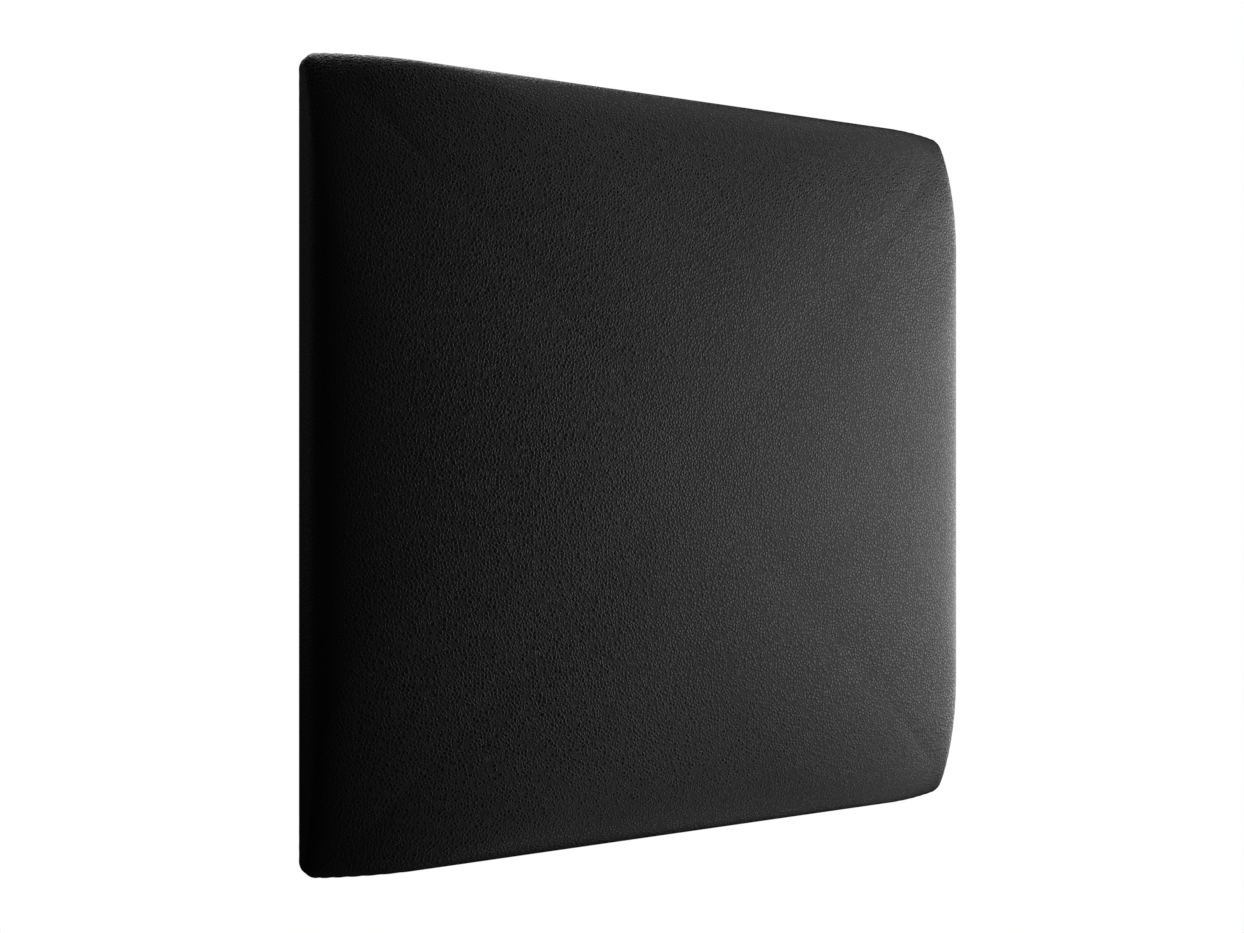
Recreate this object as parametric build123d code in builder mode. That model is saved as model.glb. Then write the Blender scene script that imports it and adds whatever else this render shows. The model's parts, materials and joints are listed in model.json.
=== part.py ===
"""Wall punch pad: a padded board in faux leather that hangs on two hooked wall rails.

Frame, in millimetres: +Z is up, the wall is the plane Y = 0 and the pad faces -Y.
The origin lies on the wall, in the middle of the four wall screw holes.
"Level" means the distance from the wall, so a level of 10 is the plane Y = -10.
"""

import os
from math import sqrt

from build123d import *

os.makedirs("parts", exist_ok=True)

# ---------------------------------------------------------------- driving dimensions
# Padded panel
pad_width = 400.0
pad_height = 400.0
pad_depth = 46.0  # from the back of the board to the top of the crown
pad_corner = 6.0  # outline's corner radius where the cover goes round the board

# Layers, from the board outwards
board_thickness = 9.0
board_edge_round = 1.5
core_foam_thickness = 20.0
wadding_thickness = 3.0
cover_thickness = 1.2
cover_return = 35.0  # strip of cover turned over the back of the board
dust_cover_thickness = 0.6
dust_cover_margin = 17.0  # ring of cover left showing outside the dust cover
dust_cover_corner = 4.0
dust_cover_step = 1.0  # width of the step down off the turned-over cover

# Hooked rails, one profile for the wall's rails and the pad's clips
rail_thickness = 2.0
rail_flange = 24.0
rail_depth = 10.0  # from the wall to the back of the pad once hooked
rail_tip_gap = 0.4  # from a lip's tip to the other rail's flange
rail_face_gap = 0.1  # between the two sloping faces that slide on each other
rail_round = 0.3
rail_end_round = 2.0
rail_groove = 0.4  # depth of the guide groove that the holes follow
rail_edge_margin = 90.0  # from the pad's top or bottom edge to a wall rail's screw line
rail_hole_inset = 25.0  # from a rail's end to its outermost hole
wall_hole_radius = 2.75

# M5 button-head screws and tee nuts that hold the clips on the board
screw_radius = 2.45
screw_end_gap = 0.8  # from the screw's end to the tee nut's front
screw_head_radius = 4.75
screw_head_height = 2.75
screw_head_round = 1.9
screw_socket_width = 3.0
screw_socket_depth = 1.6
clip_hole_radius = 2.65
clip_screw_count = 3
tee_flange_radius = 8.5
tee_flange_thickness = 1.2
tee_barrel_radius = 3.25
tee_barrel_gap = 1.5  # from the barrel's end to the back of the board
tee_bore_radius = 2.55
tee_prong_circle = 6.9
tee_prong_width = 1.8
tee_prong_thickness = 0.9
tee_prong_length = 5.0
tee_prong_count = 4
tee_hole_clearance = 0.05
tee_pocket_clearance = 0.5

# Rubber bumpers
bumper_base_radius = 11.0
bumper_tip_radius = 9.5
bumper_round = 1.0
bumper_recess_gap = 5.0  # from a bumper to the step in the dust cover
bumper_rail_gap = 12.0  # from a bumper to the end of a rail
bumper_sink_radius = 4.6
bumper_sink_depth = 5.0
bumper_screw_radius = 1.95
bumper_screw_head_radius = 3.8
bumper_screw_head_height = 2.4
bumper_screw_head_round = 1.0
bumper_screw_end_gap = 0.6  # from the screw's point to the front of the board
bumper_screw_clearance = 0.25
bumper_pilot_clearance = 0.05
cross_slot_length = 4.2
cross_slot_width = 0.9
cross_slot_depth = 1.3

# Staples
staple_crown = 10.0
staple_wire_width = 1.2
staple_wire_thickness = 0.6
staple_leg = 7.0
cover_staple_inset = 5.0  # from the inner edge of the turned-over cover
cover_staple_pitch = 30.0
dust_staple_inset = 3.0  # from the dust cover's edge
dust_staple_pitch = 45.0

# Shape of the padding: how the front swells from the board's edge to the crown
crown_power = 1.5
shoulder_power = 5.2
corner_growth = 0.27
section_shares = (1.0, 0.99, 0.965, 0.91, 0.81, 0.66, 0.46, 0.25)

# ---------------------------------------------------------------- levels and places
board_back = rail_depth + dust_cover_thickness
board_front = board_back + board_thickness
core_front = board_front + core_foam_thickness
pad_front = board_back + pad_depth
return_back = board_back - cover_thickness
dust_cover_back = return_back - dust_cover_thickness
foam_skin = cover_thickness + wadding_thickness

bumper_margin = cover_return + dust_cover_step + bumper_recess_gap + bumper_base_radius
bumper_x = pad_width / 2 - bumper_margin
bumper_z = pad_height / 2 - bumper_margin
bumper_places = [(x, z) for x in (-bumper_x, bumper_x) for z in (-bumper_z, bumper_z)]
pilot_radius = bumper_screw_radius + bumper_pilot_clearance
bumper_bore_radius = bumper_screw_radius + bumper_screw_clearance
bumper_screw_length = board_front - bumper_screw_end_gap - bumper_sink_depth

rail_length = 2 * (bumper_x - bumper_base_radius - bumper_rail_gap)
rail_reach = rail_depth - rail_thickness - rail_tip_gap
mitre = rail_thickness * sqrt(2)
hook_shift = rail_depth + rail_face_gap * sqrt(2)
clip_face = rail_depth - rail_thickness
outer_hole_x = rail_length / 2 - rail_hole_inset
wall_hole_z = pad_height / 2 - rail_edge_margin
upper_hook = wall_hole_z + rail_flange / 2
lower_hook = -wall_hole_z + rail_flange / 2

screw_length = board_front + tee_flange_thickness - screw_end_gap - clip_face
tee_barrel_length = board_thickness - tee_barrel_gap
tee_hole_radius = tee_barrel_radius + tee_hole_clearance

cover_staple_margin = cover_return - cover_staple_inset
dust_staple_margin = dust_cover_margin + dust_staple_inset


def clip_screw_places(hook):
    """X and Z of the screws of the pad clip that drops over the wall rail ending at this height."""
    height = hook + hook_shift + rail_flange / 2
    pitch = 2 * outer_hole_x / (clip_screw_count - 1)
    return [(i * pitch - outer_hole_x, height) for i in range(clip_screw_count)]


upper_screw_places = clip_screw_places(upper_hook)
lower_screw_places = clip_screw_places(lower_hook)
all_screw_places = upper_screw_places + lower_screw_places


def level(distance):
    """Plane parallel to the wall, facing the room, this far from the wall."""
    return Plane.XZ.offset(distance)


def discs(distance, places, radius, depth, mode=Mode.ADD):
    """Round bosses or holes of one radius, starting at this level and running outwards."""
    with BuildSketch(level(distance)) as outline:
        with Locations(*places):
            Circle(radius)
    extrude(outline.sketch, amount=depth, mode=mode)


def slab(distance, depth, margin, corner, mode=Mode.ADD):
    """Rounded slab this far inside the pad's outline, starting at this level and running outwards."""
    with BuildSketch(level(distance)) as outline:
        RectangleRounded(pad_width - 2 * margin, pad_height - 2 * margin, corner)
    extrude(outline.sketch, amount=depth, mode=mode)


def swell(skin, mode=Mode.ADD):
    """The padding's swelling front, this far inside the cover's outer surface.

    Each section is a rounded rectangle. Towards the crown it gets smaller, and its corners get rounder,
    because the cover pulls the foam's corners in most.
    """
    corner_share = pad_corner / (min(pad_width, pad_height) / 2)
    sections = []
    for share in section_shares:
        half_x = share * (pad_width / 2 - skin)
        half_z = share * (pad_height / 2 - skin)
        rise = ((1 - share**crown_power) / (1 - section_shares[-1] ** crown_power)) ** (1 / shoulder_power)
        softness = corner_share + (1 - corner_share) * (1 - share) ** corner_growth
        with BuildSketch(level(board_front + (pad_front - skin - board_front) * rise)) as section:
            RectangleRounded(2 * half_x, 2 * half_z, min(half_x, half_z) * softness)
        sections.append(section.sketch)
    loft(sections, mode=mode)


def finish(builder, name):
    """Labels a finished piece and writes it as its own file."""
    builder.part.label = name
    export_step(builder.part, f"parts/{name}.step")


# ---------------------------------------------------------------- hooked rails
def hook_outline(flip, height):
    """Corners of a hooked rail's profile, as distance from the wall and height.

    The profile stands on its mounting face, and its lip slopes away at 45 degrees. The pad's clip is
    the same profile turned half a turn, so its lip drops behind the wall rail's lip.
    """
    middle = -rail_flange / 2
    corners = [
        (0, -rail_flange),
        (rail_thickness, -rail_flange),
        (rail_thickness, middle - rail_groove),
        (rail_thickness - rail_groove, middle),
        (rail_thickness, middle + rail_groove),
        (rail_thickness, rail_thickness - mitre),
        (rail_reach, rail_reach - mitre),
        (rail_reach, rail_reach),
        (0, 0),
    ]
    if flip:
        corners = [(rail_depth - u, hook_shift - v) for u, v in corners]
    return [(u, v + height) for u, v in corners]


def hooked_rail(flip, height, holes, hole_radius):
    """Builds one rail or clip along X, with its lip's root at this height and its screw holes."""
    section = Plane(origin=(0, 0, 0), x_dir=(0, -1, 0), z_dir=(-1, 0, 0))
    outline = hook_outline(flip, height)
    low = min(v for u, v in outline)
    high = max(v for u, v in outline)
    with BuildPart() as rail:
        with BuildSketch(section):
            with BuildLine():
                Polyline(*outline, close=True)
            make_face()
        extrude(amount=rail_length / 2, both=True)
        fillet(rail.edges().filter_by(Axis.X), rail_round)
        with BuildSketch(level(0)):
            with Locations((0, (low + high) / 2)):
                RectangleRounded(rail_length, high - low, rail_end_round)
        extrude(amount=rail_depth, mode=Mode.INTERSECT)
        discs(clip_face if flip else 0, holes, hole_radius, rail_thickness, Mode.SUBTRACT)
    return rail


for name, hook, hole_z in (
    ("upper_wall_rail", upper_hook, wall_hole_z),
    ("lower_wall_rail", lower_hook, -wall_hole_z),
):
    wall_holes = [(-outer_hole_x, hole_z), (outer_hole_x, hole_z)]
    finish(hooked_rail(False, hook, wall_holes, wall_hole_radius), name)

for name, hook, places in (
    ("upper_pad_clip", upper_hook, upper_screw_places),
    ("lower_pad_clip", lower_hook, lower_screw_places),
):
    finish(hooked_rail(True, hook, places, clip_hole_radius), name)


# ---------------------------------------------------------------- clip screws and tee nuts
def clip_screws(places):
    """Button-head screws, heads towards the wall, that hold a clip on the board."""
    head_end = clip_face - screw_head_height
    with BuildPart() as screws:
        discs(head_end, places, screw_head_radius, screw_head_height)
        rims = screws.edges().filter_by(GeomType.CIRCLE).group_by(Axis.Y)[-1]
        fillet(rims, screw_head_round)
        with BuildSketch(level(head_end)):
            with Locations(*places):
                RegularPolygon(screw_socket_width / 2, 6, major_radius=False)
        extrude(amount=screw_socket_depth, mode=Mode.SUBTRACT)
        discs(clip_face, places, screw_radius, screw_length)
    return screws


def tee_nuts(places):
    """Tee nuts pressed into the front of the board, each a flange, a barrel and prongs."""
    with BuildPart() as nuts:
        discs(board_front, places, tee_flange_radius, tee_flange_thickness)
        discs(board_front - tee_barrel_length, places, tee_barrel_radius, tee_barrel_length)
        with BuildSketch(level(board_front - tee_prong_length)):
            with Locations(*places):
                with PolarLocations(tee_prong_circle, tee_prong_count):
                    Rectangle(tee_prong_thickness, tee_prong_width)
        extrude(amount=tee_prong_length)
        bore_start = board_front - tee_barrel_length
        discs(bore_start, places, tee_bore_radius, tee_barrel_length + tee_flange_thickness, Mode.SUBTRACT)
    return nuts


upper_tee_nuts = tee_nuts(upper_screw_places)
lower_tee_nuts = tee_nuts(lower_screw_places)
finish(upper_tee_nuts, "upper_tee_nuts")
finish(lower_tee_nuts, "lower_tee_nuts")
finish(clip_screws(upper_screw_places), "upper_clip_screws")
finish(clip_screws(lower_screw_places), "lower_clip_screws")


# ---------------------------------------------------------------- staples
def staple_rows(margin, pitch):
    """X, Z and turn of the staples along the pad's four sides, this far inside its edges."""
    half_x = pad_width / 2 - margin
    half_z = pad_height / 2 - margin
    rows = []
    for side in (-1, 1):
        for run in staple_runs(half_x, pitch):
            rows.append((run, side * half_z, 0))
        for run in staple_runs(half_z, pitch):
            rows.append((side * half_x, run, 90))
    return rows


def staple_runs(half_row, pitch):
    """Places of staples along a row, centred, with the last ones a crown's width inside its ends."""
    count = int(2 * (half_row - staple_crown) / pitch) + 1
    return [(i - (count - 1) / 2) * pitch for i in range(count)]


def staples(crown_back, margin, pitch):
    """Staples with their crowns starting at this level and their legs driven towards the room."""
    leg_offset = (staple_crown - staple_wire_thickness) / 2
    rows = staple_rows(margin, pitch)
    with BuildPart() as group:
        with BuildSketch(level(crown_back)):
            for x, z, turn in rows:
                with Locations(Location((x, z, 0), (0, 0, turn))):
                    Rectangle(staple_crown, staple_wire_width)
        extrude(amount=staple_wire_thickness)
        with BuildSketch(level(crown_back + staple_wire_thickness)):
            for x, z, turn in rows:
                with Locations(Location((x, z, 0), (0, 0, turn))):
                    with Locations((-leg_offset, 0), (leg_offset, 0)):
                        Rectangle(staple_wire_thickness, staple_wire_width)
        extrude(amount=staple_leg)
    return group


cover_staples = staples(return_back, cover_staple_margin, cover_staple_pitch)
dust_cover_staples = staples(dust_cover_back - staple_wire_thickness, dust_staple_margin, dust_staple_pitch)
finish(cover_staples, "cover_staples")
finish(dust_cover_staples, "dust_cover_staples")

# ---------------------------------------------------------------- backing board
with BuildPart() as board_blank:
    slab(board_back, board_thickness, cover_thickness, pad_corner - cover_thickness)
    fillet(board_blank.faces().sort_by(Axis.Y)[-1].edges(), board_edge_round)

with BuildPart() as backing_board:
    add(board_blank.part)
    discs(board_back, all_screw_places, tee_hole_radius, board_thickness, Mode.SUBTRACT)
    discs(board_back, bumper_places, pilot_radius, board_thickness, Mode.SUBTRACT)
    for metal in (upper_tee_nuts, lower_tee_nuts, cover_staples, dust_cover_staples):
        add(metal.part, mode=Mode.SUBTRACT)
finish(backing_board, "backing_board")

# ---------------------------------------------------------------- foam and wadding
pocket_radius = tee_flange_radius + tee_pocket_clearance
pocket_depth = tee_flange_thickness + tee_pocket_clearance

with BuildPart() as core_foam:
    swell(foam_skin)
    split(bisect_by=level(core_front), keep=Keep.BOTTOM)
    discs(board_front, all_screw_places, pocket_radius, pocket_depth, Mode.SUBTRACT)
finish(core_foam, "core_foam")

with BuildPart() as face_foam:
    swell(foam_skin)
    split(bisect_by=level(core_front), keep=Keep.TOP)
finish(face_foam, "face_foam")

with BuildPart() as wadding:
    swell(cover_thickness)
    swell(foam_skin, Mode.SUBTRACT)
finish(wadding, "wadding")

# ---------------------------------------------------------------- cover
with BuildPart() as cover:
    slab(return_back, board_thickness + cover_thickness, 0, pad_corner)
    fillet(cover.faces().sort_by(Axis.Y)[-1].edges(), board_edge_round + cover_thickness)
    swell(0)
    add(board_blank.part, mode=Mode.SUBTRACT)
    swell(cover_thickness, Mode.SUBTRACT)
    slab(return_back, cover_thickness, cover_return, pad_corner, Mode.SUBTRACT)
    add(cover_staples.part, mode=Mode.SUBTRACT)
    add(dust_cover_staples.part, mode=Mode.SUBTRACT)
finish(cover, "cover")

# ---------------------------------------------------------------- dust cover
recess_margin = cover_return + dust_cover_step
recess_corner = pad_corner - dust_cover_step

with BuildPart() as dust_cover:
    slab(dust_cover_back, dust_cover_thickness, dust_cover_margin, dust_cover_corner)
    slab(return_back, cover_thickness, cover_return, pad_corner)
    slab(dust_cover_back, cover_thickness, recess_margin, recess_corner, Mode.SUBTRACT)
    discs(rail_depth, all_screw_places, clip_hole_radius, dust_cover_thickness, Mode.SUBTRACT)
    discs(rail_depth, bumper_places, bumper_bore_radius, dust_cover_thickness, Mode.SUBTRACT)
    add(dust_cover_staples.part, mode=Mode.SUBTRACT)
finish(dust_cover, "dust_cover")

# ---------------------------------------------------------------- bumpers
for x_name, x in (("left", -bumper_x), ("right", bumper_x)):
    for z_name, z in (("lower", -bumper_z), ("upper", bumper_z)):
        with BuildPart() as bumper:
            with BuildSketch(level(0)):
                with Locations((x, z)):
                    Circle(bumper_tip_radius)
            with BuildSketch(level(rail_depth)):
                with Locations((x, z)):
                    Circle(bumper_base_radius)
            loft()
            fillet(bumper.faces().sort_by(Axis.Y)[-1].edges(), bumper_round)
            discs(0, [(x, z)], bumper_sink_radius, bumper_sink_depth, Mode.SUBTRACT)
            discs(0, [(x, z)], bumper_bore_radius, rail_depth, Mode.SUBTRACT)
        finish(bumper, f"{z_name}_{x_name}_bumper")

with BuildPart() as bumper_screws:
    screw_head_end = bumper_sink_depth - bumper_screw_head_height
    discs(screw_head_end, bumper_places, bumper_screw_head_radius, bumper_screw_head_height)
    head_rims = bumper_screws.edges().filter_by(GeomType.CIRCLE).group_by(Axis.Y)[-1]
    fillet(head_rims, bumper_screw_head_round)
    with BuildSketch(level(screw_head_end)):
        with Locations(*bumper_places):
            Rectangle(cross_slot_length, cross_slot_width)
            Rectangle(cross_slot_width, cross_slot_length)
    extrude(amount=cross_slot_depth, mode=Mode.SUBTRACT)
    discs(bumper_sink_depth, bumper_places, bumper_screw_radius, bumper_screw_length)
finish(bumper_screws, "bumper_screws")
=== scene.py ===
# %% [markdown]
# # A padded wall panel to punch
# The pad is a plywood board with two layers of foam on its front, a thin layer of wadding, and one sheet
# of black faux leather pulled tight over everything and stapled to the board's back. Two aluminium clips
# on the back drop over two rails that stay on the wall. The metal, the board and the rubber come from the
# CAD frame and only get materials here. Everything soft is modelled again, because cloth and foam have
# shapes that a CAD solid can't give.

# %% Load the frame
import json
import math

import bpy
import numpy as np
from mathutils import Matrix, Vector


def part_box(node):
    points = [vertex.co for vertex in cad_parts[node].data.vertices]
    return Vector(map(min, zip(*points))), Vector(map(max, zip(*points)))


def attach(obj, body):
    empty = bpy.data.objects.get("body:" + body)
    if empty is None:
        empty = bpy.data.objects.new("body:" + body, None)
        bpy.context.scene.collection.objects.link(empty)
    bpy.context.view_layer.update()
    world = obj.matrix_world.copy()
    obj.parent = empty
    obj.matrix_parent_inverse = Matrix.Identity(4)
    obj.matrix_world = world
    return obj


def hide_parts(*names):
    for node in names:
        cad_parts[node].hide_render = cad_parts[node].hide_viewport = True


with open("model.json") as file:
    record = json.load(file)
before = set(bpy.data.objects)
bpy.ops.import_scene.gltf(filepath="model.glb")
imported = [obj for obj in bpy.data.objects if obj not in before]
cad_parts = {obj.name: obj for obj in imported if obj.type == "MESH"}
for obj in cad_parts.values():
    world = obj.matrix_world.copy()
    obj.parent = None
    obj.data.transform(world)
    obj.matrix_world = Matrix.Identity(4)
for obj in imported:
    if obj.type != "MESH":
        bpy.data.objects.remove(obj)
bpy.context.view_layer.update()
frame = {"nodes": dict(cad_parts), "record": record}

MM = 0.001

# %% [markdown]
# ## Levels
# The wall is the plane Y = 0 and the pad faces -Y. A "level" is the distance from the wall, so it is -Y.
# All sizes that the soft pieces share with the board are read from the frame's own boxes.

# %% Levels read from the frame
def levels(node):
    """Nearest and furthest distance from the wall that a CAD node reaches."""
    low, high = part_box(node)
    return -high[1], -low[1]


return_back, crown = levels("cover")
board_back, board_front = levels("backing_board")
core_front = levels("core_foam")[1]
dust_back = levels("dust_cover")[0]
pad_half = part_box("cover")[1][0]
dust_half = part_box("dust_cover")[1][0]
skin = pad_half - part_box("backing_board")[1][0]
wadding_skin = pad_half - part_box("core_foam")[1][0]
print("board from", round(board_back, 4), "to", round(board_front, 4), "crown at", round(crown, 4))

# %% [markdown]
# ## The shape of a stuffed cover
# Seen from the front, the padding is a stack of outlines. At the board the outline is the board's own
# square with small corners. Towards the crown the outlines shrink and their corners get rounder, because
# the stretched cover squeezes the foam's corners most. The height rises very steeply off the board and
# then flattens out. The corner's radius on the board and three powers say all of this.

# %% The outlines from the board's edge to the crown
CORNER = 6.4 * MM
CROWN_POWER = 1.5
SHOULDER_POWER = 5.14
CORNER_GROWTH = 0.27
CAP_SHARE = 0.2  # the middle is flattened this far out, so that the crown has no point
SHARE_SAMPLES = 8001
SHARE_POWER = 4  # packs the samples towards the board's edge, where the height rises steeply


def rise(share):
    """How high the padding stands at this share of the way from the middle to the edge, from 1 to 0."""
    cap = CAP_SHARE**4
    rounded = ((share**4 + cap) / (1 + cap)) ** (CROWN_POWER / 4)
    middle = (cap / (1 + cap)) ** (CROWN_POWER / 4)
    return np.clip((1 - rounded) / (1 - middle), 0, 1) ** (1 / SHOULDER_POWER)


def corner_radius(share, half):
    """Corner radius of the outline with this half width, at this share of the way out."""
    start = CORNER / pad_half
    return half * np.minimum(1, start + (1 - start) * (1 - np.minimum(share, 1)) ** CORNER_GROWTH)


def even_shares(count):
    """Shares from the middle out whose outlines are evenly spaced over the sides and corners together."""
    share = 1 - np.linspace(1, 0, SHARE_SAMPLES) ** SHARE_POWER
    height = rise(share) * (crown - board_front)
    side = share * pad_half
    radius = corner_radius(share, side)
    corner = (side - radius) * math.sqrt(2) + radius
    run = np.hypot(np.diff(side), np.diff(height)) + np.hypot(np.diff(corner), np.diff(height))
    along = np.concatenate([[0], np.cumsum(run)])
    return np.interp(np.linspace(0, along[-1], count + 1), along, share)


print("length from the middle to the board's edge:", round(float(pad_half + crown - board_front), 3))

# %% [markdown]
# ## A grid that wraps round the pad
# One square grid makes the whole skin. The rings round the grid's middle become the outlines of the
# front, and the outer rings run down the board's edge and turn in over its back. A grid has no poles, so
# the shading stays smooth, and the rings crowd together at the corners, where the surface bends most.

# %% Wrap a grid round the pad
CROWDING = 0.6  # 0 spaces the grid's lines evenly, and 1 crowds them most at the corners


def onto_rounded_square(points, half, radius):
    """Moves points from a square's sides onto the same square with rounded corners."""
    core = np.clip(points, -(half - radius)[:, None], (half - radius)[:, None])
    away = points - core
    length = np.maximum(np.linalg.norm(away, axis=1), 1e-12)
    return core + away * (radius / length)[:, None]


def ring_grid(name, rings):
    """A new grid object, with each vertex's ring number and its place on that ring's square."""
    bpy.ops.object.select_all(action="DESELECT")
    bpy.ops.mesh.primitive_grid_add(x_subdivisions=2 * rings, y_subdivisions=2 * rings, size=2)
    piece = bpy.context.active_object
    piece.name = piece.data.name = name
    flat = np.zeros(len(piece.data.vertices) * 3)
    piece.data.vertices.foreach_get("co", flat)
    flat = flat.reshape(-1, 3)[:, :2]
    ring = np.abs(flat).max(axis=1)
    square = flat / np.maximum(ring, 1e-9)[:, None]
    square = (1 - CROWDING) * square + CROWDING * np.sin(square * math.pi / 2)
    return piece, np.round(ring * rings).astype(int), square


def select_only(piece):
    bpy.ops.object.select_all(action="DESELECT")
    piece.select_set(True)
    bpy.context.view_layer.objects.active = piece


def vertex_spots(piece):
    spots = np.zeros(len(piece.data.vertices) * 3)
    piece.data.vertices.foreach_get("co", spots)
    return spots.reshape(-1, 3)


def vertex_normals(piece):
    normals = np.zeros(len(piece.data.vertices) * 3)
    piece.data.vertices.foreach_get("normal", normals)
    return normals.reshape(-1, 3)


def move_vertices(piece, spots):
    piece.data.vertices.foreach_set("co", spots.ravel())
    piece.data.update()


def place(piece, across, level):
    """Puts the piece's vertices at these X and Z and at these distances from the wall."""
    move_vertices(piece, np.stack([across[:, 0], -level, across[:, 1]], axis=1))
    select_only(piece)
    bpy.ops.object.shade_smooth()


def padding(name, rings, inset):
    """The padding's front surface, this far inside the cover's outer face, open at the board."""
    piece, ring, square = ring_grid(name, rings)
    share = even_shares(rings)[ring]
    half = share * (pad_half - inset)
    across = onto_rounded_square(square * half[:, None], half, corner_radius(share, half))
    place(piece, across, board_front + (crown - inset - board_front) * rise(share))
    return piece


# %% [markdown]
# ## The cover
# Faux leather is a knitted cloth with a thin embossed plastic skin. It is cut as one square, pulled over
# the foam, over the board's edge and stapled 30 mm in from the edge on the back. At each corner there is
# more material than the corner can take, so it gathers in small pleats, which show on the back and fade
# out as they come round to the front.

# %% The cover's rings
FRONT_RINGS = 84
EDGE_RINGS = 4  # down the board's edge, and again round its back corner
RETURN_RINGS = 13
EDGE_ROUND = 2.0 * MM
RETURN_WIDTH = 35 * MM
LEAST_RADIUS = 0.5 * MM


def skirt_path():
    """Inset and level of each ring from the board's front edge, round its back edge and inwards."""
    straight = np.linspace(board_front, return_back + EDGE_ROUND, EDGE_RINGS + 1)[1:]
    path = [(0.0, level) for level in straight]
    for turn in np.linspace(0, math.pi / 2, EDGE_RINGS + 1)[1:]:
        path.append((EDGE_ROUND * (1 - math.cos(turn)), return_back + EDGE_ROUND * (1 - math.sin(turn))))
    for inset in np.linspace(EDGE_ROUND, RETURN_WIDTH, RETURN_RINGS + 1)[1:]:
        path.append((inset, return_back))
    return np.array(path)


skirt = skirt_path()
cover, ring, square = ring_grid("stretched_cover", FRONT_RINGS + len(skirt))
on_front = ring <= FRONT_RINGS
share = even_shares(FRONT_RINGS)[np.minimum(ring, FRONT_RINGS)]
on_skirt = skirt[np.maximum(ring - FRONT_RINGS - 1, 0)]
inset = np.where(on_front, 0, on_skirt[:, 0])
half = share * pad_half - inset
radius = np.where(on_front, corner_radius(share, half), np.maximum(CORNER - inset, LEAST_RADIUS))
across = onto_rounded_square(square * half[:, None], half, radius)
level = np.where(on_front, board_front + (crown - board_front) * rise(share), on_skirt[:, 1])
place(cover, across, level)
print("cover:", len(cover.data.polygons), "faces")

# %% [markdown]
# The pleats are a wave that runs across each corner's diagonal. It is strongest on the back, weaker on
# the board's edge, and gone a little way up the front.

# %% Gather the cover's corners
PLEAT_PITCH = 5.5 * MM
PLEAT_REACH = 15 * MM
PLEAT_DEPTH_BACK = 0.75 * MM
PLEAT_DEPTH_FRONT = 0.05 * MM
PLEAT_FADE = 14 * MM
PLEAT_DRIFT = 1.4  # how far the pleats wander from an even spacing, in radians
PLEAT_WANDER = 2.3  # how fast they wander, in radians per reach


def gather_corners(piece):
    """Adds the corner pleats to the cover, along its own normals."""
    spots = vertex_spots(piece)
    reach_x = np.abs(spots[:, 0])
    reach_z = np.abs(spots[:, 2])
    off_diagonal = (reach_x - reach_z) / math.sqrt(2)
    off_corner = pad_half - (reach_x + reach_z) / 2
    level = -spots[:, 1]
    on_back = np.clip((board_back - level) / (board_back - return_back), 0, 1)
    up_front = np.clip((level - board_front) / PLEAT_FADE, 0, 1)
    depth = PLEAT_DEPTH_FRONT + (PLEAT_DEPTH_BACK - PLEAT_DEPTH_FRONT) * on_back**2
    depth = depth * (1 - up_front) ** 2 * np.exp(-((off_diagonal / PLEAT_REACH) ** 2))
    depth = depth * np.exp(-((np.maximum(off_corner, 0) / (2 * PLEAT_REACH)) ** 2))
    drift = PLEAT_DRIFT * np.sin(off_diagonal / PLEAT_REACH * PLEAT_WANDER)
    wave = np.cos(2 * math.pi * off_diagonal / PLEAT_PITCH + drift)
    move_vertices(piece, spots + vertex_normals(piece) * (depth * wave)[:, None])


gather_corners(cover)

# %% [markdown]
# The cover is under tension, and the foam pushes it out. A cloth simulation lets it settle: it starts a
# little inside its place, is held where the staples hold it, and a light pressure swells it back. The
# average move of each ring is taken out and the rest is capped, so that the pad keeps its size and only
# the unevenness stays. The wadding irons out fine creases, so the unevenness is blurred over about a
# centimetre.

# %% Let the cover settle
SETTLE_FRAMES = 20
START_INSIDE = 0.8 * MM
SETTLE_CAP = 0.35 * MM
SOFT_HOLD = 0.1  # how firmly the foam holds the front; the board's edge and back are held fully, at 1
HOLD_FADE = 9 * MM  # height over which the hold fades from the one to the other
IRONING_PASSES = 40


def ironed(values):
    """Blurs one value per vertex of a square grid, as wadding does to creases."""
    side = round(math.sqrt(len(values)))
    field = values.reshape(side, side)
    for _ in range(IRONING_PASSES):
        field = np.pad(field, 1, mode="edge")
        field = (field[:-2, 1:-1] + 2 * field[1:-1, 1:-1] + field[2:, 1:-1]) / 4
        field = np.pad(field, 1, mode="edge")
        field = (field[1:-1, :-2] + 2 * field[1:-1, 1:-1] + field[1:-1, 2:]) / 4
    return field.ravel()


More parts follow.
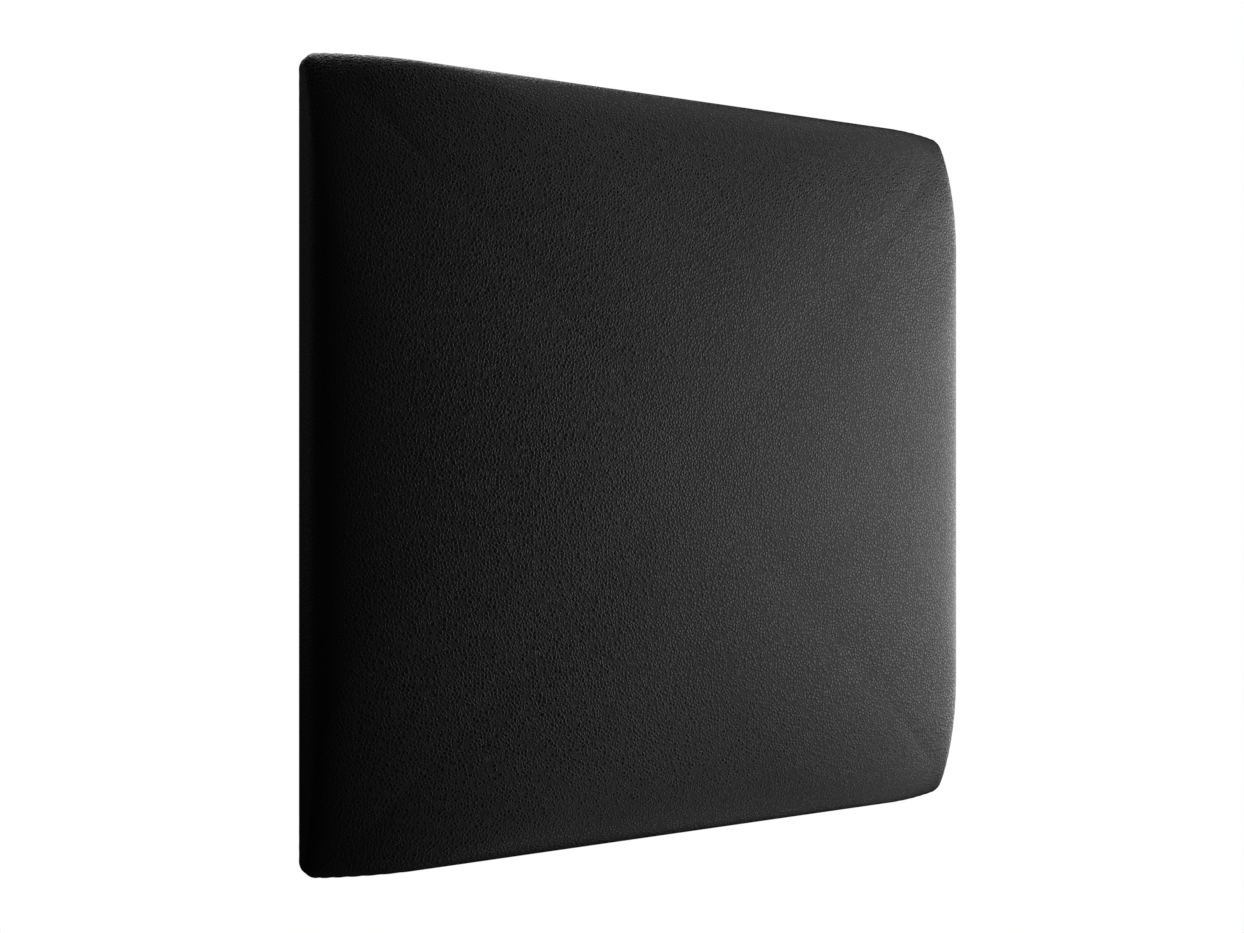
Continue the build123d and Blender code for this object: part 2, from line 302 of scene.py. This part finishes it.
def settle(piece, ring):
    """Runs the cloth simulation on the cover and applies it."""
    target = vertex_spots(piece)
    outwards = vertex_normals(piece)
    above_board = np.clip((-target[:, 1] - board_front) / HOLD_FADE, 0, 1)
    hold = np.round(1 - (1 - SOFT_HOLD) * above_board, 2)
    move_vertices(piece, target - outwards * (START_INSIDE * above_board)[:, None])
    held = piece.vertex_groups.new(name="held")
    for amount in np.unique(hold):
        held.add(np.flatnonzero(hold == amount).tolist(), float(amount), "REPLACE")
    cloth = piece.modifiers.new("settle", "CLOTH")
    cloth.settings.quality = 4
    cloth.settings.mass = 0.4
    cloth.settings.tension_stiffness = 40
    cloth.settings.compression_stiffness = 40
    cloth.settings.shear_stiffness = 20
    cloth.settings.bending_stiffness = 2
    cloth.settings.use_pressure = True
    cloth.settings.uniform_pressure_force = 4
    cloth.settings.effector_weights.gravity = 0
    cloth.settings.vertex_group_mass = held.name
    cloth.point_cache.frame_end = SETTLE_FRAMES
    for moment in range(1, SETTLE_FRAMES + 1):
        bpy.context.scene.frame_set(moment)
    select_only(piece)
    bpy.ops.object.modifier_apply(modifier=cloth.name)
    bpy.context.scene.frame_set(1)
    moved = ((vertex_spots(piece) - target) * outwards).sum(axis=1)
    average = np.bincount(ring, moved) / np.bincount(ring)
    uneven = ironed(moved - average[ring]) * above_board
    print("average move, mm:", round(moved.mean() / MM, 2), "unevenness:", round(uneven.std() / MM, 3))
    move_vertices(piece, target + outwards * (SETTLE_CAP * np.tanh(uneven / SETTLE_CAP))[:, None])
    piece.vertex_groups.clear()


settle(cover, ring)

# %% [markdown]
# ## The foam and the wadding
# Firm foam on the board takes the blow, and softer foam on top of it spares the knuckles. Both are cut
# from sheets and pulled into shape by the cover, so their outside is the cover's surface moved inwards.

# %% The wadding and the two foams
def finish_with(piece, kind, **settings):
    """Adds one modifier to the piece and applies it."""
    select_only(piece)
    modifier = piece.modifiers.new(kind.lower(), kind)
    for name, value in settings.items():
        setattr(modifier, name, value)
    bpy.ops.object.modifier_apply(modifier=modifier.name)


def cut(piece, level, keep_front):
    """Cuts a piece along a plane parallel to the wall, and closes it there."""
    select_only(piece)
    bpy.ops.object.mode_set(mode="EDIT")
    bpy.ops.mesh.select_all(action="SELECT")
    bpy.ops.mesh.bisect(
        plane_co=(0, -level, 0), plane_no=(0, 1, 0), use_fill=True,
        clear_outer=keep_front, clear_inner=not keep_front,
    )
    bpy.ops.object.mode_set(mode="OBJECT")


SOFT_RINGS = 30
CLOSE = 0.05 * MM  # gap between the foam and the board

wadding = padding("wadding_layer", SOFT_RINGS, skin + SETTLE_CAP)
finish_with(wadding, "SOLIDIFY", thickness=wadding_skin - skin - SETTLE_CAP, offset=-1)

face_foam = padding("face_foam_block", SOFT_RINGS, wadding_skin)
cut(face_foam, core_front, keep_front=True)

core_foam = padding("core_foam_block", SOFT_RINGS, wadding_skin)
cut(core_foam, core_front, keep_front=False)
cut(core_foam, board_front + CLOSE, keep_front=True)
print("foams:", len(core_foam.data.polygons), len(face_foam.data.polygons))

# %% Close the cover's skin to its real thickness
finish_with(cover, "SOLIDIFY", thickness=skin, offset=-1)

# %% [markdown]
# ## The dust cover
# The back is closed with a thin black nonwoven, the cloth under sofas. Its edge is folded under once and
# stapled. Between the staples the edge springs back a little, and each staple pulls faint creases into
# the cloth.

# %% The dust cover's cloth
DUST_CELLS = 150
DUST_THICKNESS = 0.3 * MM
HEM_WIDTH = 13 * MM
HEM_EDGE = 2 * MM  # width over which the fold swells to its full lift
HEM_LIFT = 0.35 * MM
STAPLED_LIFT = 0.4  # share of the lift that is left under a staple
STEP_PLACE = pad_half - RETURN_WIDTH - 1 * MM  # where the cloth has climbed onto the turned-over cover
STEP_WIDTH = 3 * MM
SCALLOP = 0.5 * MM
CREASE = 0.22 * MM
CREASE_PITCH = 6 * MM
CREASE_REACH = 22 * MM
CREASE_FADE = 0.6  # share of a crease that is gone midway between two staples
STAPLE_PITCH = 45 * MM


def smooth_step(value, start, end):
    """0 before start, 1 after end, and a smooth curve between them."""
    t = np.clip((value - start) / (end - start), 0, 1)
    return t * t * (3 - 2 * t)


bpy.ops.object.select_all(action="DESELECT")
bpy.ops.mesh.primitive_grid_add(x_subdivisions=DUST_CELLS, y_subdivisions=DUST_CELLS, size=2 * dust_half)
dust_cover = bpy.context.active_object
dust_cover.name = dust_cover.data.name = "dust_cover_cloth"
flat = vertex_spots(dust_cover)[:, :2]
reach = np.abs(flat).max(axis=1)
run = np.where(np.abs(flat[:, 0]) > np.abs(flat[:, 1]), flat[:, 1], flat[:, 0])
near_edge = np.clip(1 - (dust_half - reach) / CREASE_REACH, 0, 1)
between = 0.5 - 0.5 * np.cos(2 * math.pi * (run / STAPLE_PITCH + 0.5))
step = smooth_step(reach, STEP_PLACE - STEP_WIDTH, STEP_PLACE)
hem = smooth_step(reach, dust_half - HEM_WIDTH, dust_half - HEM_WIDTH + HEM_EDGE)
cloth_level = (board_back - skin / 2) * (1 - step) + dust_back * step
cloth_level -= HEM_LIFT * hem * (STAPLED_LIFT + (1 - STAPLED_LIFT) * between)
crease = CREASE * near_edge**2 * np.cos(2 * math.pi * run / CREASE_PITCH)
cloth_level += crease * (1 - CREASE_FADE * between)
pull = 1 - SCALLOP * between * near_edge**3 / dust_half
place(dust_cover, flat * np.stack([-pull, pull], axis=1), cloth_level)
finish_with(dust_cover, "SOLIDIFY", thickness=DUST_THICKNESS, offset=-1)
print("dust cover:", len(dust_cover.data.polygons), "faces")

# %% Bodies and what each soft piece stands for
PAD = "pad"
SOFT_PIECES = {  # each CAD node, which has a material slot of the same name, and the piece in its place
    "cover": cover, "wadding": wadding, "face_foam": face_foam, "core_foam": core_foam,
    "dust_cover": dust_cover,
}
for cad_node, piece in SOFT_PIECES.items():
    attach(piece, PAD)
    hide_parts(cad_node)

# %% [markdown]
# Each sheet's cut size is what a tape reads across the middle of the pad. On the cover that tape runs over
# the crown, down the board's edge and along the turned-over strip, and the flat dust cover only adds its hem.
# Here only the cover's run over the crown, from the middle to the board's edge, is read.

# %% The cover's run over the crown
TAPE_STEPS = 400


def tape(inset, level):
    """Length of a path through these points."""
    return float(np.hypot(np.diff(inset), np.diff(level)).sum())


over_crown = even_shares(TAPE_STEPS)
over_crown = tape(over_crown * pad_half, rise(over_crown) * (crown - board_front))

# %% [markdown]
# ## Materials
# Each finish is a Principled shader fed by a few node groups. A group is an effect that several finishes
# use: it takes the place on the object and gives back a value, and the shader stays in the material.

# %% Helpers for node trees
def new_group(name, inputs, outputs):
    """An empty shader node group with these float inputs and outputs, and its two end nodes."""
    group = bpy.data.node_groups.new(name, "ShaderNodeTree")
    for label, value in inputs.items():
        socket = group.interface.new_socket(label, in_out="INPUT", socket_type="NodeSocketFloat")
        socket.default_value = value
    for label in outputs:
        group.interface.new_socket(label, in_out="OUTPUT", socket_type="NodeSocketFloat")
    start = group.nodes.new("NodeGroupInput")
    end = group.nodes.new("NodeGroupOutput")
    return group, start, end


def node(tree, kind, **settings):
    """A new node in the tree; a number sets an input by name, and anything else sets a property."""
    made = tree.nodes.new("ShaderNode" + kind)
    for name, value in settings.items():
        label = name.replace("_", " ")
        if label in made.inputs and not isinstance(value, str):
            made.inputs[label].default_value = value
        else:
            setattr(made, name, value)
    return made


def link(tree, source, target):
    tree.links.new(source, target)


def maths(tree, operation, first, second=None, third=None):
    """A Math node; each term is a number or an output to link."""
    made = tree.nodes.new("ShaderNodeMath")
    made.operation = operation
    for i, term in enumerate((first, second, third)):
        if term is None:
            continue
        if isinstance(term, (int, float)):
            made.inputs[i].default_value = term
        else:
            tree.links.new(term, made.inputs[i])
    return made.outputs[0]


def ramp(tree, value, start, end, low=0.0, high=1.0):
    """Turns a value's range from start to end into low to high, smoothly, and holds it outside."""
    made = tree.nodes.new("ShaderNodeMapRange")
    made.interpolation_type = "SMOOTHSTEP"
    tree.links.new(value, made.inputs["Value"])
    for label, number in (("From Min", start), ("From Max", end), ("To Min", low), ("To Max", high)):
        made.inputs[label].default_value = number
    return made.outputs["Result"]


# %% [markdown]
# ### Pebble grain
# The skin of faux leather is pressed with a pebble pattern: small rounded islands about two millimetres
# across, with fine valleys between them. A Voronoi texture gives each point's distance to the nearest
# border between two cells, which is a valley. A little noise bends the cells first, so that no row of
# pebbles looks ruled.

# %% The pebble grain group
def pebble_grain():
    group, start, end = new_group(
        "pebble_grain", {"Pitch mm": 1.8, "Warp": 0.35, "Wrinkle": 0.25}, ("Height", "Valley")
    )
    place_node = node(group, "TexCoord")
    pitch_m = maths(group, "MULTIPLY", start.outputs["Pitch mm"], MM)
    per_m = maths(group, "DIVIDE", 1, pitch_m)
    warp = node(group, "TexNoise", Detail=2.0, Roughness=0.5)
    link(group, place_node.outputs["Object"], warp.inputs["Vector"])
    link(group, maths(group, "MULTIPLY", per_m, 0.6), warp.inputs["Scale"])
    centred = node(group, "VectorMath", operation="SUBTRACT")
    link(group, warp.outputs["Color"], centred.inputs[0])
    centred.inputs[1].default_value = (0.5, 0.5, 0.5)
    shift = node(group, "VectorMath", operation="SCALE")
    link(group, centred.outputs[0], shift.inputs[0])
    link(group, maths(group, "MULTIPLY", start.outputs["Warp"], pitch_m), shift.inputs["Scale"])
    bent = node(group, "VectorMath", operation="ADD")
    link(group, place_node.outputs["Object"], bent.inputs[0])
    link(group, shift.outputs[0], bent.inputs[1])
    cells = node(group, "TexVoronoi", feature="DISTANCE_TO_EDGE")
    link(group, bent.outputs[0], cells.inputs["Vector"])
    link(group, per_m, cells.inputs["Scale"])
    pebble = ramp(group, cells.outputs["Distance"], 0.0, 0.32)
    crease = node(group, "TexNoise", Detail=3.0, Roughness=0.55)
    link(group, bent.outputs[0], crease.inputs["Vector"])
    link(group, maths(group, "MULTIPLY", per_m, 1.9), crease.inputs["Scale"])
    wrinkle = maths(group, "MULTIPLY", crease.outputs["Fac"], start.outputs["Wrinkle"])
    link(group, maths(group, "ADD", pebble, wrinkle), end.inputs["Height"])
    link(group, maths(group, "SUBTRACT", 1, pebble), end.inputs["Valley"])
    return group


PEBBLE = pebble_grain()

# %% [markdown]
# ### Blotches, streaks and edge wear
# Nothing is one even colour. Blotches are slow noise for handling and dust. Streaks are noise stretched
# along one axis, as rolling and drawing leave on metal. Edge wear finds the corners from the mesh's
# pointiness, and noise breaks it up, since nothing rubs off evenly.

# %% The blotch, streak and wear groups
def blotches():
    group, start, end = new_group("blotches", {"Size mm": 40.0, "Detail": 4.0}, ("Value",))
    place_node = node(group, "TexCoord")
    noise = node(group, "TexNoise", Roughness=0.6)
    link(group, place_node.outputs["Object"], noise.inputs["Vector"])
    link(group, maths(group, "DIVIDE", 1 / MM, start.outputs["Size mm"]), noise.inputs["Scale"])
    link(group, start.outputs["Detail"], noise.inputs["Detail"])
    link(group, ramp(group, noise.outputs["Fac"], 0.25, 0.75), end.inputs["Value"])
    return group


def streaks():
    group, start, end = new_group("streaks", {"Width mm": 0.3, "Length mm": 60.0}, ("Value",))
    place_node = node(group, "TexCoord")
    split = node(group, "SeparateXYZ")
    link(group, place_node.outputs["Object"], split.inputs[0])
    merge = node(group, "CombineXYZ")
    for axis, label in (("X", "Length mm"), ("Y", "Width mm"), ("Z", "Width mm")):
        step = maths(group, "MULTIPLY", start.outputs[label], MM)
        link(group, maths(group, "DIVIDE", split.outputs[axis], step), merge.inputs[axis])
    noise = node(group, "TexNoise", Scale=1.0, Detail=3.0, Roughness=0.65)
    link(group, merge.outputs[0], noise.inputs["Vector"])
    link(group, ramp(group, noise.outputs["Fac"], 0.2, 0.8), end.inputs["Value"])
    return group


def edge_wear():
    group, start, end = new_group("edge_wear", {"Reach": 0.06, "Breakup mm": 3.0}, ("Wear",))
    place_node = node(group, "TexCoord")
    shape = node(group, "NewGeometry")
    sharp = maths(group, "SUBTRACT", shape.outputs["Pointiness"], 0.5)
    sharp = maths(group, "DIVIDE", sharp, start.outputs["Reach"])
    noise = node(group, "TexNoise", Detail=4.0, Roughness=0.6)
    link(group, place_node.outputs["Object"], noise.inputs["Vector"])
    link(group, maths(group, "DIVIDE", 1 / MM, start.outputs["Breakup mm"]), noise.inputs["Scale"])
    worn = maths(group, "MULTIPLY", sharp, maths(group, "ADD", noise.outputs["Fac"], 0.3))
    link(group, ramp(group, worn, 0.25, 0.9), end.inputs["Wear"])
    return group


BLOTCHES = blotches()
STREAKS = streaks()
EDGE_WEAR = edge_wear()

# %% Helpers for materials
def new_material(name, **sockets):
    """A new material, its tree and its Principled shader with these plain socket values."""
    made = bpy.data.materials.new(name)
    made.use_nodes = True
    tree = made.node_tree
    shader = tree.nodes["Principled BSDF"]
    for label, value in sockets.items():
        shader.inputs[label.replace("_", " ")].default_value = value
    return made, tree, shader


def effect(tree, group, **values):
    """One of the node groups in a material, with its own values."""
    made = tree.nodes.new("ShaderNodeGroup")
    made.node_tree = group
    for label, value in values.items():
        made.inputs[label.replace("_", " ")].default_value = value
    return made.outputs


def colour_between(tree, value, first, second):
    """Mixes two colours by a value; either may be a colour or an output to link."""
    mix = tree.nodes.new("ShaderNodeMix")
    mix.data_type = "RGBA"
    link(tree, value, mix.inputs["Factor"])
    for socket, colour in ((mix.inputs[6], first), (mix.inputs[7], second)):
        if isinstance(colour, tuple):
            socket.default_value = (*colour, 1)
        else:
            link(tree, colour, socket)
    return mix.outputs[2]


def bump(tree, shader, height, distance_mm, strength=1.0):
    """Feeds the shader's normal from a height, whose full range stands for this many millimetres."""
    made = tree.nodes.new("ShaderNodeBump")
    made.inputs["Strength"].default_value = strength
    made.inputs["Distance"].default_value = distance_mm * MM
    link(tree, height, made.inputs["Height"])
    link(tree, made.outputs["Normal"], shader.inputs["Normal"])


# %% [markdown]
# ### Faux leather
# Almost black, with a satin skin. The pebbles' tops are a little smoother than the valleys, whose
# darker colour is painted shade, and slow blotches stand for the places that hands and gloves have polished.

# %% Faux leather
def faux_leather():
    made, tree, shader = new_material("black_faux_leather", Roughness=0.48, Specular_IOR_Level=0.5)
    grain = effect(tree, PEBBLE, Pitch_mm=1.8)
    patches = effect(tree, BLOTCHES, Size_mm=55.0)
    # The valleys are painted darker: painted shade in the grain's recesses.
    skin_colour_with_valley_shade = colour_between(tree, grain["Valley"], (0.0115, 0.0115, 0.0118), (0.006, 0.006, 0.0062))
    link(tree, skin_colour_with_valley_shade, shader.inputs["Base Color"])
    rough = maths(tree, "MULTIPLY_ADD", patches["Value"], 0.05, 0.2)
    link(tree, maths(tree, "MULTIPLY_ADD", grain["Valley"], 0.3, rough), shader.inputs["Roughness"])
    bump(tree, shader, grain["Height"], 0.12)
    return made


# %% [markdown]
# ### Metals
# The rails are extruded aluminium with lines along their length. The screws and tee nuts are zinc plated,
# which is bright and slightly blue, and the staples are galvanised wire.

# %% Metals
WORN_BRIGHTER = 1.12


def drawn_metal(name, bright, dull, roughness, width_mm, length_mm, depth_mm):
    """A bare metal with streaks along X, between a bright and a dull tone, worn brighter on its edges."""
    made, tree, shader = new_material(name, Metallic=1.0)
    lines = effect(tree, STREAKS, Width_mm=width_mm, Length_mm=length_mm)
    patches = effect(tree, BLOTCHES, Size_mm=18.0)
    wear = effect(tree, EDGE_WEAR)
    tone = colour_between(tree, lines["Value"], dull, bright)
    tone = colour_between(tree, wear["Wear"], tone, tuple(min(1.0, c * WORN_BRIGHTER) for c in bright))
    link(tree, tone, shader.inputs["Base Color"])
    rough = maths(tree, "MULTIPLY_ADD", patches["Value"], 0.05, roughness - 0.03)
    rough = maths(tree, "MULTIPLY_ADD", lines["Value"], 0.08, rough)
    link(tree, rough, shader.inputs["Roughness"])
    bump(tree, shader, lines["Value"], depth_mm)
    return made


# %% [markdown]
# ### Plywood
# Seen from the back or the front a ply is long grain, and on its edges the plies show as light and dark
# bands. The bands are a wave across the board's thickness, and the grain is noise stretched along Z.

# %% Plywood
PLY = 1.3 * MM
GRAIN_PER_METRE = {"X": 260.0, "Y": 900.0, "Z": 9.0}


def plywood():
    made, tree, shader = new_material("birch_plywood", Roughness=0.62)
    spot = node(tree, "TexCoord")
    split = node(tree, "SeparateXYZ")
    link(tree, spot.outputs["Object"], split.inputs[0])
    merge = node(tree, "CombineXYZ")
    for axis, per_m in GRAIN_PER_METRE.items():
        link(tree, maths(tree, "MULTIPLY", split.outputs[axis], per_m), merge.inputs[axis])
    grain = node(tree, "TexNoise", Scale=1.0, Detail=6.0, Roughness=0.6, Distortion=0.4)
    link(tree, merge.outputs[0], grain.inputs["Vector"])
    band = maths(tree, "SINE", maths(tree, "MULTIPLY", split.outputs["Y"], 2 * math.pi / (2 * PLY)))
    band = ramp(tree, band, -0.3, 0.3)
    face = colour_between(tree, grain.outputs["Fac"], (0.45, 0.30, 0.16), (0.68, 0.50, 0.31))
    tone = colour_between(tree, maths(tree, "MULTIPLY", band, 0.35), face, (0.30, 0.18, 0.09))
    link(tree, tone, shader.inputs["Base Color"])
    bump(tree, shader, grain.outputs["Fac"], 0.05)
    return made


# %% [markdown]
# ### Foam, wadding, nonwoven and rubber
# Foam is a mass of small open cells. Wadding is loose white fibre. The nonwoven of the dust cover is
# pressed with a grid of tiny bond points. The bumpers are moulded rubber, matte with a little dust.

# %% Foams and wadding
def open_cells(name, light, dark, cell_mm, depth_mm):
    made, tree, shader = new_material(name, Roughness=0.9, Specular_IOR_Level=0.2)
    spot = node(tree, "TexCoord")
    cells = node(tree, "TexVoronoi", Scale=1 / (cell_mm * MM))
    link(tree, spot.outputs["Object"], cells.inputs["Vector"])
    patches = effect(tree, BLOTCHES, Size_mm=25.0)
    # Each cell's hollow is painted darker than its rim, as painted shade, and slow blotches vary the tone at
    # random.
    depth = maths(tree, "MULTIPLY_ADD", patches["Value"], 0.3, cells.outputs["Distance"])
    link(tree, colour_between(tree, depth, dark, light), shader.inputs["Base Color"])
    bump(tree, shader, cells.outputs["Distance"], depth_mm)
    return made


def loose_fibre():
    made, tree, shader = new_material("white_wadding", Roughness=0.95, Sheen_Weight=0.4, Sheen_Roughness=0.5)
    spot = node(tree, "TexCoord")
    fibre = node(tree, "TexNoise", Scale=700.0, Detail=8.0, Roughness=0.7, Distortion=1.5)
    link(tree, spot.outputs["Object"], fibre.inputs["Vector"])
    tone = colour_between(tree, fibre.outputs["Fac"], (0.62, 0.62, 0.60), (0.9, 0.9, 0.88))
    link(tree, tone, shader.inputs["Base Color"])
    bump(tree, shader, fibre.outputs["Fac"], 0.6)
    return made


# %% Nonwoven and rubber
BOND_PITCH = 1.4 * MM


def nonwoven():
    """Black spun cloth with a grid of oval bond points set at a slant."""
    made, tree, shader = new_material("black_nonwoven", Roughness=0.8, Specular_IOR_Level=0.3)
    spot = node(tree, "TexCoord")
    turn = node(tree, "Mapping")
    turn.inputs["Rotation"].default_value = (0, math.radians(45), 0)
    link(tree, spot.outputs["Object"], turn.inputs["Vector"])
    split = node(tree, "SeparateXYZ")
    link(tree, turn.outputs[0], split.inputs[0])
    waves = []
    for axis in ("X", "Z"):
        phase = maths(tree, "MULTIPLY", split.outputs[axis], 2 * math.pi / BOND_PITCH)
        waves.append(maths(tree, "COSINE", phase))
    point = ramp(tree, maths(tree, "ADD", waves[0], waves[1]), 0.7, 1.5)
    fibre = node(tree, "TexNoise", Scale=1600.0, Detail=4.0, Roughness=0.7)
    link(tree, spot.outputs["Object"], fibre.inputs["Vector"])
    patches = effect(tree, BLOTCHES, Size_mm=30.0)
    cloth = colour_between(tree, fibre.outputs["Fac"], (0.016, 0.016, 0.017), (0.07, 0.07, 0.072))
    cloth = colour_between(tree, maths(tree, "MULTIPLY", patches["Value"], 0.3), cloth, (0.085, 0.083, 0.08))
    link(tree, colour_between(tree, point, cloth, (0.01, 0.01, 0.011)), shader.inputs["Base Color"])
    link(tree, maths(tree, "MULTIPLY_ADD", point, -0.35, 0.85), shader.inputs["Roughness"])
    height = maths(tree, "MULTIPLY_ADD", point, -1.0, maths(tree, "MULTIPLY", fibre.outputs["Fac"], 0.6))
    bump(tree, shader, height, 0.12)
    return made


def moulded_rubber():
    made, tree, shader = new_material("black_rubber", Roughness=0.65)
    wear = effect(tree, EDGE_WEAR, Reach=0.05, Breakup_mm=1.5)
    patches = effect(tree, BLOTCHES, Size_mm=6.0)
    spot = node(tree, "TexCoord")
    fine = node(tree, "TexNoise", Scale=3500.0, Detail=3.0)
    link(tree, spot.outputs["Object"], fine.inputs["Vector"])
    tone = colour_between(tree, patches["Value"], (0.013, 0.013, 0.013), (0.03, 0.029, 0.028))
    link(tree, colour_between(tree, wear["Wear"], tone, (0.06, 0.058, 0.055)), shader.inputs["Base Color"])
    link(tree, maths(tree, "MULTIPLY_ADD", patches["Value"], 0.15, 0.55), shader.inputs["Roughness"])
    bump(tree, shader, fine.outputs["Fac"], 0.03)
    return made


# %% Put the materials on
aluminium = drawn_metal("extruded_aluminium", (0.80, 0.81, 0.82), (0.62, 0.63, 0.65), 0.34, 0.25, 80.0, 0.012)
zinc = drawn_metal("zinc_plate", (0.74, 0.75, 0.76), (0.60, 0.62, 0.65), 0.26, 0.6, 0.6, 0.01)
wire = drawn_metal("galvanised_wire", (0.70, 0.70, 0.70), (0.50, 0.51, 0.52), 0.38, 0.3, 3.0, 0.01)
rubber = moulded_rubber()
finishes = {
    "rail": aluminium, "plated_steel": zinc, "staple_wire": wire, "plywood": plywood(), "rubber": rubber,
    "cover": faux_leather(), "wadding": loose_fibre(), "dust_cover": nonwoven(),
    "core_foam": open_cells("firm_grey_foam", (0.20, 0.21, 0.23), (0.07, 0.075, 0.08), 1.1, 0.5),
    "face_foam": open_cells("soft_cream_foam", (0.78, 0.74, 0.58), (0.45, 0.42, 0.30), 1.5, 0.6),
}


def wear_finish(piece, finish):
    """Gives the piece this one material."""
    piece.data.materials.clear()
    piece.data.materials.append(finish)


for part in frame["record"]["subparts"]:
    wear_finish(frame["nodes"][part["node"]], finishes[part["material_slot"]])
for material_slot, piece in SOFT_PIECES.items():
    wear_finish(piece, finishes[material_slot])
print("materials:", len(bpy.data.materials))

# %% [markdown]
# ## Floor, light and camera
# The pad hangs at head height, so the pale floor lies 1.6 m below its middle. Most of the light comes from
# soft panels on the right, which rake over the crown and leave the left side dark, as in a product studio
# with a black flag on the left. A panel high behind the pad lights its back.

# %% Floor
FLOOR_LEVEL = -1.6
FLOOR_SIDE = 30
bpy.ops.object.select_all(action="DESELECT")
bpy.ops.mesh.primitive_plane_add(size=FLOOR_SIDE, location=(0, 0, FLOOR_LEVEL))
floor = bpy.context.active_object
floor.name = "studio_floor"
pale, pale_tree, pale_shader = new_material("pale_floor", Base_Color=(0.06, 0.06, 0.06, 1), Roughness=0.9)
glow = node(pale_tree, "Emission", Strength=1.0)
seen = node(pale_tree, "LightPath")
either = node(pale_tree, "MixShader")
link(pale_tree, seen.outputs["Is Camera Ray"], either.inputs[0])
link(pale_tree, pale_shader.outputs[0], either.inputs[1])
link(pale_tree, glow.outputs[0], either.inputs[2])
link(pale_tree, either.outputs[0], pale_tree.nodes["Material Output"].inputs["Surface"])
floor.data.materials.append(pale)

# %% World
WORLD_DIM = 0.03  # what the room gives the pad; the camera itself sees plain white
world = bpy.data.worlds.new("white_room")
bpy.context.scene.world = world
world.use_nodes = True
sky = world.node_tree
for old in list(sky.nodes):
    sky.nodes.remove(old)
seen = node(sky, "LightPath")
bright = node(sky, "Background", Strength=1.0)
dim = node(sky, "Background", Strength=WORLD_DIM)
either = node(sky, "MixShader")
world_out = sky.nodes.new("ShaderNodeOutputWorld")
link(sky, seen.outputs["Is Camera Ray"], either.inputs[0])
link(sky, dim.outputs[0], either.inputs[1])
link(sky, bright.outputs[0], either.inputs[2])
link(sky, either.outputs[0], world_out.inputs["Surface"])
bright.inputs["Color"].default_value = (1, 1, 1, 1)
dim.inputs["Color"].default_value = (1, 1, 1, 1)

# %% Lights
LIGHT_DISTANCE = 1.6
SOFTBOX_SIDE = 1.2
SOFTBOXES = {  # turn from the front towards +X, tilt above the horizon, in degrees, and power in watts
    "right_panel": (95, 0, 11.5),
    "middle_panel": (65, 0, 6.0),
    "front_right_panel": (50, 0, 4.7),
    "high_right_panel": (65, 50, 4.1),
    "low_right_panel": (65, -45, 3.0),
    "back_panel": (180, 58, 12.0),
}


def softbox(name, turn, tilt, power):
    """A square area light on a sphere round the pad, aimed at its middle."""
    light = bpy.data.lights.new(name, "AREA")
    light.size = SOFTBOX_SIDE
    light.energy = power
    made = bpy.data.objects.new(name, light)
    bpy.context.scene.collection.objects.link(made)
    turn, tilt = math.radians(turn), math.radians(tilt)
    across = math.cos(tilt) * LIGHT_DISTANCE
    made.location = (math.sin(turn) * across, -math.cos(turn) * across, math.sin(tilt) * LIGHT_DISTANCE)
    made.rotation_euler = (math.pi / 2 - tilt, 0, turn)
    return made


for name, (turn, tilt, power) in SOFTBOXES.items():
    softbox(name, turn, tilt, power)
print("lights:", len(SOFTBOXES))

# %% Camera
LENS = 42.1  # on a 36 mm wide sensor
CAMERA_PLACE = (-0.4081, -0.7075, -0.0005)
CAMERA_TURN = -29.16  # degrees to the right of straight at the wall
camera_data = bpy.data.cameras.new("studio_camera")
camera = bpy.data.objects.new("studio_camera", camera_data)
bpy.context.scene.collection.objects.link(camera)
camera_data.sensor_width = 36
camera_data.lens = LENS
camera_data.clip_start = 0.01
camera.location = CAMERA_PLACE
camera.rotation_euler = (math.radians(90), 0, math.radians(CAMERA_TURN))
bpy.context.scene.camera = camera
bpy.context.scene.view_settings.view_transform = "Standard"
